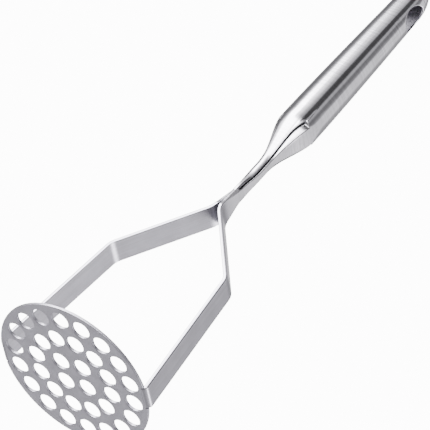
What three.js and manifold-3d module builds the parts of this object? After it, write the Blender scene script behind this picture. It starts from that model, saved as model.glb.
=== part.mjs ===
// Potato masher: a round perforated plate on two bent straps, with a hollow tapered handle.
// Millimetres, +Z up the handle. Origin: centre of the plate's underside. +X and -X carry the straps.

import * as THREE from 'three';
import { mergeVertices } from 'three/addons/utils/BufferGeometryUtils.js';
import Module from 'manifold-3d';

const wasm = await Module();
wasm.setup();

// ---------------------------------------------------------------- driving dimensions

const clearance = 0.3; // between faces that touch on the real object

const plateRadius = 40;
const plateThickness = 1.5;
const rimMargin = 3.1; // metal between the outer holes and the plate's edge
const holeBridge = 2.25; // metal between neighbours in the outer ring
const ringGap = 3; // metal between one ring of holes and the next
const holesPerRing = [18, 12, 4]; // from the edge inwards

const strapWidth = 12.2;
const strapThickness = 2;
const footBendRadius = 1.5; // to the strap's middle, as for the two bends below
const shoulderHalfSpan = 32.4;
const shoulderHeight = 77.3;
const shoulderBendRadius = 9;
const crotchHeight = 118.9;
const crotchBendRadius = 14;
const notchSideClearance = 0.5; // plate's notch beside the strap

const neckBottom = 134.4;
const neckWaist = 152; // narrowest stretch of the neck
const neckWaistReachX = 3.1;
const neckWaistReachY = 3.7;
const neckWaistFace = 1.8; // half width of the faces that look along X
const neckWaistEdge = 1; // half width of the edges that look along Y
const neckEndReachY = 4.4;
const neckEndFace = 2.6;
const neckEndEdge = 0.7;
const grooveAngle = 59; // from the X axis
const grooveWaistRadius = 2.2;
const neckFaceFlareStart = 160; // where the X faces start to spread into the handle
const neckEdgeFlareStart = 155; // the same for the Y edges and the grooves
const weldThickness = 1;

const tangTaperStart = 120.5; // where the straps start to narrow
const tangThinningStart = 124; // where their outer corners start to slope off

const handleStart = 192; // where the neck has become round
const handleRadius = 10.25;
const handleEndRadius = 8.35; // where the dome starts
const handleTaperPower = 1.4; // over 1 makes the taper slightly convex
const handleWall = 1;
const boreTipAboveWaist = 10; // pointed lower end of the handle's hollow
const totalHeight = 305;
const domeHeight = 19;
const capSeamAboveDomeStart = 8;
const capLipLength = 3; // how far the cap's plug reaches into the tube

const hangHoleWidth = 10.4;
const hangHoleHeight = 17.2;
const hangHoleBelowTop = 23; // centre of the hole, from the tip

const footBeadRadius = 1.1;

const roundSegments = 48;
const holeSegments = 11; // per quarter of a circle
const slotSegments = 16;
const bendSteps = 8;
const neckRows = 22;
const tubeRows = 8;
const boreRows = 6;
const domeRows = 9;

// ---------------------------------------------------------------- derived places

const origin = new THREE.Vector2();

const strapMiddle = (clearance + strapThickness) / 2; // strap's middle plane where the two meet
const strapOuterFace = clearance / 2 + strapThickness;
const tangTop = neckBottom - weldThickness - 2 * clearance;
const boreTip = neckWaist + boreTipAboveWaist;
const domeStart = totalHeight - domeHeight;
const capSeam = domeStart + capSeamAboveDomeStart;
const hangHoleCentre = totalHeight - hangHoleBelowTop;
const pitchRatio = 2 * Math.sin(Math.PI / holesPerRing[0]); // outer ring's hole pitch over its radius
const holeRadius = (pitchRatio * (plateRadius - rimMargin) - holeBridge) / (2 + pitchRatio);
const outerRingRadius = plateRadius - rimMargin - holeRadius;

// ---------------------------------------------------------------- materials

function metal(color, roughness, metalness) {
  return new THREE.MeshStandardMaterial({ color, roughness, metalness });
}

const satinSteel = () => metal(0x9b9aa2, 0.42, 0.9);
const strapSteel = () => metal(0xa9a8af, 0.36, 0.9);
const polishedSteel = () => metal(0xc8c8cc, 0.16, 1);
const weldSteel = () => metal(0x8e8d93, 0.5, 0.85);

// ---------------------------------------------------------------- solids

function toSolid(geometry) {
  const bare = geometry.clone();
  bare.deleteAttribute('normal');
  bare.deleteAttribute('uv');
  const merged = mergeVertices(bare, 1e-4);
  return new wasm.Manifold(new wasm.Mesh({
    numProp: 3,
    vertProperties: new Float32Array(merged.attributes.position.array),
    triVerts: new Uint32Array(merged.index.array),
  }));
}

function toGeometry(solid) {
  const mesh = solid.getMesh();
  const geometry = new THREE.BufferGeometry();
  geometry.setAttribute('position', new THREE.BufferAttribute(mesh.vertProperties, 3));
  geometry.setIndex(new THREE.BufferAttribute(mesh.triVerts, 1));
  geometry.computeVertexNormals();
  return geometry;
}

// A block whose face lies on the plane through `point`; it fills the side that `normal` points to.
function blockBeyond(point, normal, size) {
  const geometry = new THREE.BoxGeometry(size, size, size);
  geometry.translate(0, 0, size / 2);
  const turn = new THREE.Quaternion().setFromUnitVectors(new THREE.Vector3(0, 0, 1), normal);
  geometry.applyQuaternion(turn);
  geometry.translate(point.x, point.y, point.z);
  return toSolid(geometry);
}

function ease(t) {
  const u = THREE.MathUtils.clamp(t, 0, 1);
  return u * u * (3 - 2 * u);
}

function blend(a, b, t) {
  return a + (b - a) * t;
}

// ---------------------------------------------------------------- strap path

// Middle line of a bent strip in the XZ plane: straight runs joined by arcs at the inner corners.
// Each sample holds its place and the unit normal on the outer side of the leg.
function bentLine(corners, radii, stepsPerArc) {
  const samples = [];
  const add = (point, direction) => {
    samples.push({ point: point.clone(), normal: new THREE.Vector2(direction.y, -direction.x) });
  };
  const directions = [];
  for (let i = 0; i + 1 < corners.length; i += 1) {
    directions.push(corners[i + 1].clone().sub(corners[i]).normalize());
  }
  add(corners[0], directions[0]);
  for (let i = 1; i + 1 < corners.length; i += 1) {
    const before = directions[i - 1];
    const after = directions[i];
    const turn = Math.atan2(before.cross(after), before.dot(after));
    const side = Math.sign(turn);
    const radius = radii[i - 1];
    const reach = radius * Math.tan(Math.abs(turn) / 2);
    const start = corners[i].clone().addScaledVector(before, -reach);
    const inward = new THREE.Vector2(-before.y, before.x).multiplyScalar(side * radius);
    const centre = start.clone().add(inward);
    for (let k = 0; k <= stepsPerArc; k += 1) {
      const angle = turn * k / stepsPerArc;
      const point = start.clone().rotateAround(centre, angle);
      add(point, before.clone().rotateAround(origin, angle));
    }
  }
  add(corners[corners.length - 1], directions[directions.length - 1]);
  return samples;
}

// Turn of the strap at the foot, from along the plate to up the lower leg.
const footCorner = new THREE.Vector2(plateRadius, strapThickness / 2);
const shoulderCorner = new THREE.Vector2(shoulderHalfSpan, shoulderHeight);
const lowerLeg = shoulderCorner.clone().sub(footCorner);
const footTurn = Math.atan2(lowerLeg.y, lowerLeg.x);
const footStart = plateRadius - footBendRadius * Math.tan(footTurn / 2);
const notchFlat = footStart - clearance;

// ---------------------------------------------------------------- plate

function plateOutline() {
  const half = strapWidth / 2 + notchSideClearance;
  const angle = Math.asin(half / plateRadius);
  const outline = new THREE.Shape();
  outline.moveTo(notchFlat, -half);
  outline.lineTo(notchFlat, half);
  outline.absarc(0, 0, plateRadius, angle, Math.PI - angle, false);
  outline.lineTo(-notchFlat, half);
  outline.lineTo(-notchFlat, -half);
  outline.absarc(0, 0, plateRadius, Math.PI + angle, 2 * Math.PI - angle, false);
  outline.closePath();
  return outline;
}

// Every ring of holes is turned by half a pitch from the X axis.
function masherPlate() {
  const outline = plateOutline();
  holesPerRing.forEach((count, ring) => {
    const radius = outerRingRadius - ring * (2 * holeRadius + ringGap);
    for (let k = 0; k < count; k += 1) {
      const centre = new THREE.Vector2(radius, 0).rotateAround(origin, 2 * Math.PI * (k + 0.5) / count);
      const hole = new THREE.Path();
      hole.absarc(centre.x, centre.y, holeRadius, 0, 2 * Math.PI, true);
      outline.holes.push(hole);
    }
  });
  return new THREE.ExtrudeGeometry(outline, {
    depth: plateThickness,
    bevelEnabled: false,
    curveSegments: holeSegments,
  });
}

// ---------------------------------------------------------------- straps

// Extrudes an outline drawn in the XZ plane by `width`, centred on Y.
function extrudeAcross(shape, width) {
  const geometry = new THREE.ExtrudeGeometry(shape, { depth: width, bevelEnabled: false });
  geometry.rotateX(Math.PI / 2);
  geometry.translate(0, width / 2, 0);
  return geometry;
}

function strapBlank() {
  const corners = [
    new THREE.Vector2(footStart, strapThickness / 2),
    footCorner,
    shoulderCorner,
    new THREE.Vector2(strapMiddle, crotchHeight),
    new THREE.Vector2(strapMiddle, tangTop),
  ];
  const radii = [footBendRadius, shoulderBendRadius, crotchBendRadius];
  const line = bentLine(corners, radii, bendSteps).slice(1);
  const offset = (sample, distance) => sample.point.clone().addScaledVector(sample.normal, distance);
  const outer = line.map((sample) => offset(sample, strapThickness / 2));
  const inner = line.map((sample) => offset(sample, -strapThickness / 2)).reverse();
  return toSolid(extrudeAcross(new THREE.Shape([...outer, ...inner]), strapWidth));
}

// The strap's end narrows to the neck's width and its outer corners slope off to the neck's edges.
function strapTaperCuts() {
  const cuts = [];
  const size = strapWidth * 4;
  const up = new THREE.Vector3(0, 0, 1);
  const above = blockBeyond(new THREE.Vector3(0, 0, tangThinningStart), up, size);
  const run = tangTop - tangTaperStart;
  const narrowing = strapWidth / 2 - neckEndReachY;
  const halfWidthAt = (z) => strapWidth / 2 - narrowing * (z - tangTaperStart) / run;
  for (const side of [-1, 1]) {
    const edge = new THREE.Vector3(0, side * strapWidth / 2, tangTaperStart);
    const across = new THREE.Vector3(0, side * run, narrowing).normalize();
    cuts.push(blockBeyond(edge, across, size));
    const startHalfWidth = halfWidthAt(tangThinningStart);
    const start = new THREE.Vector3(strapOuterFace, side * startHalfWidth, tangThinningStart);
    const thinEdge = new THREE.Vector3(neckEndEdge, side * neckEndReachY, tangTop);
    const faceEdge = new THREE.Vector3(strapOuterFace, side * neckEndFace, tangTop);
    const slope = thinEdge.sub(start).cross(faceEdge.sub(start)).normalize();
    if (slope.x < 0) {
      slope.negate();
    }
    cuts.push(blockBeyond(start, slope, size).intersect(above));
  }
  return cuts;
}

function strap(side) {
  let solid = strapBlank();
  for (const cut of strapTaperCuts()) {
    solid = solid.subtract(cut);
  }
  const geometry = toGeometry(solid);
  if (side < 0) {
    geometry.rotateZ(Math.PI);
  }
  return geometry;
}

// ---------------------------------------------------------------- welds

// Bead in the corner between the plate's top and the strap's foot.
function footBead(side) {
  const beadStart = footStart - clearance - footBeadRadius * 2;
  const bottom = plateThickness + clearance;
  const outline = new THREE.Shape();
  outline.moveTo(beadStart, bottom);
  outline.lineTo(beadStart + footBeadRadius * 2, bottom);
  outline.absarc(beadStart + footBeadRadius, bottom, footBeadRadius, 0, Math.PI, false);
  const geometry = extrudeAcross(outline, strapWidth - 2 * notchSideClearance);
  if (side < 0) {
    geometry.rotateZ(Math.PI);
  }
  return geometry;
}

// Section of the joint between the straps and the neck, an eight-sided bar.
function jointOutline() {
  const corners = [
    new THREE.Vector2(strapOuterFace, -neckEndFace),
    new THREE.Vector2(strapOuterFace, neckEndFace),
    new THREE.Vector2(neckEndEdge, neckEndReachY),
    new THREE.Vector2(-neckEndEdge, neckEndReachY),
  ];
  const opposite = corners.map((corner) => corner.clone().negate());
  return new THREE.Shape([...corners, ...opposite]);
}

function neckWeld() {
  const settings = { depth: weldThickness, bevelEnabled: false };
  const geometry = new THREE.ExtrudeGeometry(jointOutline(), settings);
  geometry.translate(0, 0, tangTop + clearance);
  return geometry;
}

// ---------------------------------------------------------------- handle

// Radius of the round handle, before the neck is crimped and up to the tip.
function roundRadius(z) {
  if (z > domeStart) {
    const rise = (z - domeStart) / domeHeight;
    return handleEndRadius * Math.sqrt(Math.max(0, 1 - rise * rise));
  }
  const along = Math.max(0, (z - handleStart) / (domeStart - handleStart));
  return blend(handleRadius, handleEndRadius, along ** handleTaperPower);
}

// Distance from the origin, along `angle`, to the line through two points.
function rayToLine(angle, from, to) {
  const direction = new THREE.Vector2(Math.cos(angle), Math.sin(angle));
  const along = to.clone().sub(from);
  return from.cross(along) / direction.cross(along);
}

// Corners of the crimped neck's section in one quarter: where the X face ends, the bottom of the
// pressed groove, and where the Y edge starts.
function neckCorners(z) {
  const fall = ease((neckWaist - z) / (neckWaist - neckBottom));
  const faceRise = ease((z - neckFaceFlareStart) / (handleStart - neckFaceFlareStart));
  const edgeRise = ease((z - neckEdgeFlareStart) / (handleStart - neckEdgeFlareStart));
  const size = (waist, end, full, rise) => blend(blend(waist, end, fall), full, rise);
  const face = new THREE.Vector2(
    size(neckWaistReachX, strapOuterFace, handleRadius, faceRise),
    size(neckWaistFace, neckEndFace, handleRadius / 2, faceRise),
  );
  const edge = new THREE.Vector2(
    size(neckWaistEdge, neckEndEdge, handleRadius / 2, edgeRise),
    size(neckWaistReachY, neckEndReachY, handleRadius, edgeRise),
  );
  const groove = THREE.MathUtils.degToRad(grooveAngle);
  const flush = rayToLine(groove, face, edge);
  const depth = Math.min(flush, size(grooveWaistRadius, flush, handleRadius, edgeRise));
  const bottom = new THREE.Vector2(depth, 0).rotateAround(origin, groove);
  return { face, edge, bottom };
}

function neckRadius(angle, z) {
  const { face, edge, bottom } = neckCorners(z);
  const quarter = Math.atan2(Math.abs(Math.sin(angle)), Math.abs(Math.cos(angle)));
  let radius;
  if (quarter < face.angle()) {
    radius = face.x / Math.cos(quarter);
  } else if (quarter < bottom.angle()) {
    radius = rayToLine(quarter, face, bottom);
  } else if (quarter < edge.angle()) {
    radius = rayToLine(quarter, bottom, edge);
  } else {
    radius = edge.y / Math.sin(quarter);
  }
  return Math.min(radius, roundRadius(z));
}

// The bore follows the round handle and closes where the neck is pressed shut.
function boreRadius(z) {
  return (roundRadius(z) - handleWall) * ease((z - boreTip) / (handleStart - boreTip));
}

function handleProfile() {
  const points = [new THREE.Vector2(0, neckBottom)];
  const add = (radius, z) => points.push(new THREE.Vector2(radius, z));
  for (let k = 0; k <= neckRows; k += 1) {
    const z = blend(neckBottom, handleStart, k / neckRows);
    add(roundRadius(z), z);
  }
  for (let k = 1; k <= tubeRows; k += 1) {
    const z = blend(handleStart, capSeam, k / tubeRows);
    add(roundRadius(z), z);
  }
  for (let k = tubeRows; k >= 1; k -= 1) {
    const z = blend(handleStart, capSeam, k / tubeRows);
    add(roundRadius(z) - handleWall, z);
  }
  for (let k = boreRows; k >= 1; k -= 1) {
    const z = blend(boreTip, handleStart, k / boreRows);
    add(boreRadius(z), z);
  }
  add(0, boreTip);
  return points;
}

// Presses the round tube's outer rows into the neck's section.
function crimp(geometry, rows) {
  const position = geometry.attributes.position;
  for (let i = 0; i < position.count; i += 1) {
    const row = i % rows;
    if (row >= 1 && row <= neckRows + 1) {
      const angle = Math.atan2(position.getY(i), position.getX(i));
      const radius = neckRadius(angle, position.getZ(i));
      position.setX(i, radius * Math.cos(angle));
      position.setY(i, radius * Math.sin(angle));
    }
  }
}

// A lathe turned about Z, with its faces out for a profile that runs up the outside.
function turned(points) {
  const geometry = new THREE.LatheGeometry(points, roundSegments);
  geometry.rotateX(Math.PI / 2);
  return geometry;
}

function hangHoleCutter() {
  const outline = new THREE.Shape();
  outline.absellipse(0, 0, hangHoleWidth / 2, hangHoleHeight / 2, 0, 2 * Math.PI, false, 0);
  const geometry = new THREE.ExtrudeGeometry(outline, {
    depth: handleRadius * 4,
    bevelEnabled: false,
    curveSegments: slotSegments,
  });
  geometry.translate(0, 0, -handleRadius * 2);
  geometry.rotateX(Math.PI / 2);
  geometry.rotateZ(Math.PI / 2);
  geometry.translate(0, 0, hangHoleCentre);
  return toSolid(geometry);
}

function handleTube() {
  const points = handleProfile();
  const geometry = turned(points);
  crimp(geometry, points.length);
  return toGeometry(toSolid(geometry).subtract(hangHoleCutter()));
}

// Domed cap: a shell over the tube's end, with a lip that plugs into the tube.
function handleEndCap() {
  const bottom = capSeam + clearance;
  const lipBottom = capSeam - capLipLength;
  const lipRadius = roundRadius(capSeam) - handleWall - clearance;
  const innerTop = totalHeight - handleWall;
  const innerRise = (z) => (z - domeStart) / (innerTop - domeStart);
  const innerRound = (z) => Math.sqrt(Math.max(0, 1 - innerRise(z) ** 2));
  const heightAt = (row, top) => blend(bottom, top, Math.sin(Math.PI / 2 * row / domeRows));
  const points = [new THREE.Vector2(lipRadius, lipBottom), new THREE.Vector2(lipRadius, bottom)];
  for (let row = 0; row <= domeRows; row += 1) {
    const z = heightAt(row, totalHeight);
    points.push(new THREE.Vector2(roundRadius(z), z));
  }
  for (let row = domeRows; row >= 0; row -= 1) {
    const z = heightAt(row, innerTop);
    const radius = (lipRadius - handleWall) * innerRound(z) / innerRound(bottom);
    points.push(new THREE.Vector2(radius, z));
  }
  points.push(new THREE.Vector2(lipRadius - handleWall, lipBottom));
  points.push(points[0].clone());
  return turned(points);
}

// ---------------------------------------------------------------- assembly

const masher = new THREE.Group();

function addPart(name, geometry, material) {
  const mesh = new THREE.Mesh(geometry, material);
  mesh.name = name;
  masher.add(mesh);
}

addPart('masher_plate', masherPlate(), satinSteel());
addPart('left_leg', strap(-1), strapSteel());
addPart('right_leg', strap(1), strapSteel());
addPart('left_foot_weld', footBead(-1), weldSteel());
addPart('right_foot_weld', footBead(1), weldSteel());
addPart('neck_weld', neckWeld(), weldSteel());
addPart('handle_tube', handleTube(), polishedSteel());
addPart('handle_end_cap', handleEndCap(), polishedSteel());

export default masher;
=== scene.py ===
"""A hand potato masher in stainless steel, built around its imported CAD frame.

A round perforated plate is carried by two bent straps. They join a crimped neck that opens into
a hollow tapered handle with a hanging hole. Sizes are in millimetres in the settings and in
metres everywhere else, and +Z runs up the handle.
"""

import math

import bmesh
import bpy
from bpy.props import FloatProperty, FloatVectorProperty, IntVectorProperty, PointerProperty
from bpy.types import Operator, Panel, PropertyGroup
from mathutils import Matrix, Vector, geometry, noise


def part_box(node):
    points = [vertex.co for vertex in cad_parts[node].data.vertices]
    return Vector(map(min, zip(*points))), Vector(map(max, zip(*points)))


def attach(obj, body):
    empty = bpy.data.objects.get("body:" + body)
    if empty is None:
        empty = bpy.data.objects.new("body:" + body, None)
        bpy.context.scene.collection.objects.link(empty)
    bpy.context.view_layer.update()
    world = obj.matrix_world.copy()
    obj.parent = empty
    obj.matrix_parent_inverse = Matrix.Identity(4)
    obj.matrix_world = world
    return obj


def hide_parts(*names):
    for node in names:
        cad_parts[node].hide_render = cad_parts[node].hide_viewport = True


bl_info = {
    "name": "Potato Masher",
    "version": (1, 0, 0),
    "blender": (4, 5, 0),
    "location": "View3D > Sidebar > Masher",
    "description": "Builds a steel potato masher piece by piece",
    "category": "Object",
}

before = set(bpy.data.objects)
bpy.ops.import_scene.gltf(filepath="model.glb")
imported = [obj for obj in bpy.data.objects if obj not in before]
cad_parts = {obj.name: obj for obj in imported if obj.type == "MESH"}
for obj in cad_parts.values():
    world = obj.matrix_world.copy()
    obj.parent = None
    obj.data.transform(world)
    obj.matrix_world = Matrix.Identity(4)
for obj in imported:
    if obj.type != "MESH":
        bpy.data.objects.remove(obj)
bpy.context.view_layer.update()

MM = 0.001


def extent(node, axis):
    """Length of a frame node along an axis, in millimetres."""
    low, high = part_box(node)
    return (high[axis] - low[axis]) / MM


PLATE_DIAMETER = extent("masher_plate", 1)
PLATE_THICKNESS = extent("masher_plate", 2)
STRAP_WIDTH = extent("right_leg", 1)
TOTAL_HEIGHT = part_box("handle_end_cap")[1][2] / MM
NECK_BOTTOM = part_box("handle_tube")[0][2] / MM
CAP_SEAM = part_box("handle_tube")[1][2] / MM
HANDLE_RADIUS = extent("handle_tube", 1) / 2


# ------------------------------------------------------------------ settings


def length(name, description, default):
    return FloatProperty(name=name, description=description, default=default, min=0.0, unit="NONE")


def strength(name, description, default):
    return FloatProperty(name=name, description=description, default=default, min=0.0)


def angle(name, description, degrees):
    return FloatProperty(
        name=name, description=description, default=math.radians(degrees), subtype="ANGLE"
    )


def colour(name, description, default):
    return FloatVectorProperty(
        name=name, description=description, default=default, size=3, min=0, max=1, subtype="COLOR"
    )


def factor(name, description, default):
    return FloatProperty(
        name=name, description=description, default=default, min=0.0, max=1.0, subtype="FACTOR"
    )


class PlateSettings(PropertyGroup):
    radius: length("Radius", "Outer radius of the plate, mm", PLATE_DIAMETER / 2)
    thickness: length("Thickness", "Sheet thickness, mm", PLATE_THICKNESS)
    hole_radius: length("Hole radius", "Radius of every hole, mm", 4.5)
    rim_margin: length("Rim margin", "Metal outside the outer ring of holes, mm", 3.1)
    ring_gap: length("Ring gap", "Metal between two rings of holes, mm", 3.0)
    holes: IntVectorProperty(
        name="Holes", description="Holes in each ring, from the rim inwards", default=(18, 12, 4)
    )
    edge_round: length("Edge rounding", "Radius of the stamped edges, mm", 0.36)
    colour: colour("Colour", "Satin steel of the plate", (0.452, 0.444, 0.492))
    roughness: factor("Roughness", "Roughness of the satin finish", 0.36)


class StrapSettings(PropertyGroup):
    width: length("Width", "Width of the flat bar, mm", STRAP_WIDTH)
    thickness: length("Thickness", "Thickness of the flat bar, mm", 2.0)
    foot_bend: length("Foot bend", "Bend radius at the foot, to the bar's middle, mm", 1.5)
    shoulder_half_span: length("Shoulder half span", "Axis to the outer bend, mm", 32.4)
    shoulder_height: length("Shoulder height", "Height of the outer bend, mm", 77.3)
    shoulder_bend: length("Shoulder bend", "Radius of the outer bend, mm", 9.0)
    crotch_height: length("Crotch height", "Where the two straps meet, mm", 118.9)
    crotch_bend: length("Crotch bend", "Radius of the bend where they meet, mm", 14.0)
    edge_round: length("Edge rounding", "Rounding of the long outer edges, mm", 0.5)
    joint_gap: length("Joint gap", "Hairline between the two straps, mm", 0.05)
    narrowing_start: length("Narrowing start", "Height where the tang gets narrower, mm", 120.5)
    sloping_start: length("Sloping start", "Height where its corners slope off, mm", 124.0)
    colour: colour("Colour", "Satin steel of the straps", (0.482, 0.474, 0.518))
    roughness: factor("Roughness", "Roughness of the satin finish", 0.3)


class HandleSettings(PropertyGroup):
    neck_bottom: length("Neck bottom", "Lower end of the crimped neck, mm", NECK_BOTTOM)
    weld_height: length("Weld height", "Height of the weld under the neck, mm", 1.3)
    end_reach_x: length("End reach X", "Half thickness at the neck's lower end, mm", 2.1)
    end_reach_y: length("End reach Y", "Half width at the neck's lower end, mm", 4.4)
    end_face: length("End face", "Half width of the X faces at the lower end, mm", 2.6)
    end_edge: length("End edge", "Half width of the Y edges at the lower end, mm", 0.7)
    waist: length("Waist", "Height of the neck's narrowest place, mm", 152.0)
    waist_reach_x: length("Waist reach X", "Half thickness at the waist, mm", 3.2)
    waist_lobe: length("Waist lobe", "Radius of the round Y sides at the waist, mm", 3.5)
    face_flare: length("Face flare", "Height where the X faces spread, mm", 160.0)
    lobe_flare: length("Lobe flare", "Height where the round sides spread, mm", 155.5)
    lobe_top: length("Lobe top", "Height where they reach the handle's radius, mm", 190.5)
    crease_waist: angle("Crease at the waist", "Direction of the creases from the X axis", 51.0)
    crease_flare: angle("Crease in the flare", "The same where the neck opens", 59.0)
    crease_top: angle("Crease at the top", "The same where they run out", 45.0)
    crease_depth: length("Crease depth", "Depth of the creases, mm", 0.8)
    press_depth: length("Press depth", "How far the flats beside the X faces are pressed in, mm", 2.5)
    press_lean: angle("Press lean", "Slope of the press beside the X faces", 9.0)
    press_top: length("Press top", "Height where the creases run out, mm", 186.6)
    neck_top: length("Neck top", "Height where the last facet runs out, mm", 194.5)
    radius: length("Radius", "Radius of the handle above the neck, mm", HANDLE_RADIUS)
    end_radius: length("End radius", "Radius where the dome starts, mm", 8.35)
    taper_start: length("Taper start", "Height where the taper starts, mm", 192.0)
    wall: length("Wall", "Wall of the tube, mm", 1.0)
    total_height: length("Total height", "Height of the tip, mm", TOTAL_HEIGHT)
    dome_height: length("Dome height", "Height of the domed end, mm", 19.0)
    cap_seam: length("Cap seam", "Height of the seam under the cap, mm", CAP_SEAM)
    hole_width: length("Hanging hole width", "Across the handle, mm", 10.4)
    hole_height: length("Hanging hole height", "Along the handle, mm", 17.2)
    hole_below_top: length("Hole below top", "Tip to the hole's centre, mm", 23.0)
    colour: colour("Colour", "Polished steel of the handle", (0.74, 0.73, 0.77))
    inside_colour: colour("Inside colour", "Unpolished steel inside", (0.52, 0.51, 0.55))
    roughness: factor("Roughness", "Roughness of the polish", 0.1)


class StudioSettings(PropertyGroup):
    floor_size: length("Floor size", "Side of the floor, mm", 6000.0)
    floor_colour: colour("Floor colour", "Plain pale floor", (0.86, 0.86, 0.86))
    floor_glow: strength("Floor glow", "Light that the floor adds, so that it looks pale", 0.9)
    backdrop: strength("Backdrop", "Brightness of the plain background", 13.0)
    key_power: strength("Key power", "Power of the overhead light, W", 6.0)
    lens: length("Lens", "Focal length of the camera, mm", 298.1)


SETTINGS = {
    "masher_plate": PlateSettings,
    "masher_strap": StrapSettings,
    "masher_handle": HandleSettings,
    "masher_studio": StudioSettings,
}


# ------------------------------------------------------------------ shader maths


class Value:
    """A number that varies over a surface; arithmetic on it adds Math nodes."""

    def __init__(self, shader, socket):
        self.shader = shader
        self.socket = socket

    def math(self, operation, first, second=None):
        inputs = {0: first}
        if second is not None:
            inputs[1] = second
        node = self.shader.node("ShaderNodeMath", {"operation": operation}, inputs)
        return Value(self.shader, node.outputs[0])

    def __add__(self, other):
        return self.math("ADD", self, other)

    def __radd__(self, other):
        return self.math("ADD", other, self)

    def __sub__(self, other):
        return self.math("SUBTRACT", self, other)

    def __rsub__(self, other):
        return self.math("SUBTRACT", other, self)

    def __mul__(self, other):
        return self.math("MULTIPLY", self, other)

    def __rmul__(self, other):
        return self.math("MULTIPLY", other, self)

    def __truediv__(self, other):
        return self.math("DIVIDE", self, other)

    def __pow__(self, other):
        return self.math("POWER", self, other)

    def absolute(self):
        return self.math("ABSOLUTE", self)

    def between(self, low, high):
        """0 at or below low, 1 at or above high, and smooth in between."""
        settings = {"interpolation_type": "SMOOTHSTEP"}
        inputs = {"Value": self, "From Min": low, "From Max": high}
        node = self.shader.node("ShaderNodeMapRange", settings, inputs)
        return Value(self.shader, node.outputs[0])


class Shader:
    """Builds one node tree, for a material or for the world."""

    def __init__(self, owner):
        owner.use_nodes = True
        self.owner = owner
        self.tree = owner.node_tree
        self.tree.nodes.clear()

    def node(self, kind, settings=None, inputs=None):
        node = self.tree.nodes.new(kind)
        for name, setting in (settings or {}).items():
            setattr(node, name, setting)
        for name, value in (inputs or {}).items():
            socket = node.inputs[name]
            if isinstance(value, Value):
                value = value.socket
            if isinstance(value, bpy.types.NodeSocket):
                self.tree.links.new(value, socket)
            else:
                socket.default_value = value
        return node

    def value(self, kind, settings=None, inputs=None, output=0):
        return Value(self, self.node(kind, settings, inputs).outputs[output])

    def place(self, scale):
        """The surface point in metres, stretched by scale."""
        point = self.node("ShaderNodeTexCoord").outputs["Object"]
        settings = {"operation": "MULTIPLY"}
        return self.node("ShaderNodeVectorMath", settings, {0: point, 1: scale}).outputs[0]

    def axes(self, vector):
        node = self.node("ShaderNodeSeparateXYZ", None, {0: vector})
        return [Value(self, output) for output in node.outputs]

    def millimetres(self):
        """The surface point's X, Y and Z in millimetres."""
        return self.axes(self.place((1 / MM, 1 / MM, 1 / MM)))

    def noise(self, scale, detail):
        """Noise from 0 to 1; scale is in cycles per metre along X, Y and Z."""
        inputs = {"Vector": self.place(scale), "Scale": 1.0, "Detail": detail}
        return self.value("ShaderNodeTexNoise", {"noise_dimensions": "3D"}, inputs)

    def mix(self, share, first, second):
        """Colour between first, at a share of 0, and second, at 1."""
        inputs = {0: share, 6: first, 7: second}
        return self.node("ShaderNodeMix", {"data_type": "RGBA"}, inputs).outputs[2]

    def tones(self, share, colour, dark, light):
        """A colour that varies from one brightness of it to another."""
        return self.mix(share, shade(colour, dark), shade(colour, light))

    def bump(self, height, distance, strength, below=None):
        inputs = {"Height": height, "Distance": distance, "Strength": strength}
        if below is not None:
            inputs["Normal"] = below
        return self.node("ShaderNodeBump", None, inputs).outputs[0]

    def metal(self, colour, roughness, normal):
        inputs = {"Base Color": colour, "Metallic": 1.0, "Roughness": roughness, "Normal": normal}
        surface = self.node("ShaderNodeBsdfPrincipled", None, inputs).outputs[0]
        self.node("ShaderNodeOutputMaterial", None, {"Surface": surface})
        return self.owner


def shade(colour, amount):
    """A colour with its brightness scaled, as RGBA."""
    return (*[min(1.0, channel * amount) for channel in colour], 1.0)


CUT_ROUGHNESS = 0.4  # of the sheet's stamped edges
GROUND_ROUGHNESS = 0.13  # of the bars' ground edges
STRAP_POLISH = (16, 4)  # distances below the neck between which the bars turn bright, mm


def satin_plate(settings):
    """Tumbled satin sheet: soft clouds, a fine even grain and a few hairline scratches."""
    shader = Shader(bpy.data.materials.new("satin_plate"))
    clouds = shader.noise((140, 140, 140), 4.0)
    speck = shader.noise((1900, 1900, 1900), 2.0)
    tone = (clouds * 0.65 + speck * 0.35).between(0.3, 0.7)
    colour = shader.tones(tone, settings.colour, 0.85, 1.12)
    satin = settings.roughness - 0.05 + clouds * 0.06 + speck * 0.04
    _, _, height = shader.millimetres()
    low, high = 0.04, 0.2
    over = height.between(low, high)
    under = 1 - height.between(settings.thickness - high, settings.thickness - low)
    cut = over * under
    roughness = satin * (1 - cut) + cut * CUT_ROUGHNESS
    scratches = shader.noise((90, 3200, 90), 2.0).between(0.62, 0.75)
    grain = shader.bump(speck, 0.00002, 0.35)
    normal = shader.bump(scratches, 0.000008, 0.25, grain)
    return shader.metal(colour, roughness, normal)


def satin_strap(settings, bright, strap_top):
    """Flat bar ground along its length, and polished bright towards the neck above it."""
    shader = Shader(bpy.data.materials.new("satin_strap"))
    grain = shader.noise((60, 5200, 30), 3.0)
    coarse = shader.noise((50, 900, 22), 2.0)
    clouds = shader.noise((110, 110, 110), 3.0)
    tone = (grain * 0.4 + coarse * 0.3 + clouds * 0.3).between(0.32, 0.68)
    colour = shader.tones(tone, settings.colour, 0.87, 1.12)
    satin = settings.roughness - 0.05 + grain * 0.07 + clouds * 0.04
    _, across, height = shader.millimetres()
    half = settings.width / 2
    edge = across.absolute().between(half - settings.edge_round, half - settings.edge_round / 2)
    roughness = satin * (1 - edge) + edge * GROUND_ROUGHNESS
    start, end = STRAP_POLISH
    polish = height.between(strap_top - start, strap_top - end)
    colour = shader.mix(polish, colour, (*bright, 1.0))
    normal = shader.bump(grain, 0.000012, 0.3)
    return shader.metal(colour, roughness, normal)


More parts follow.
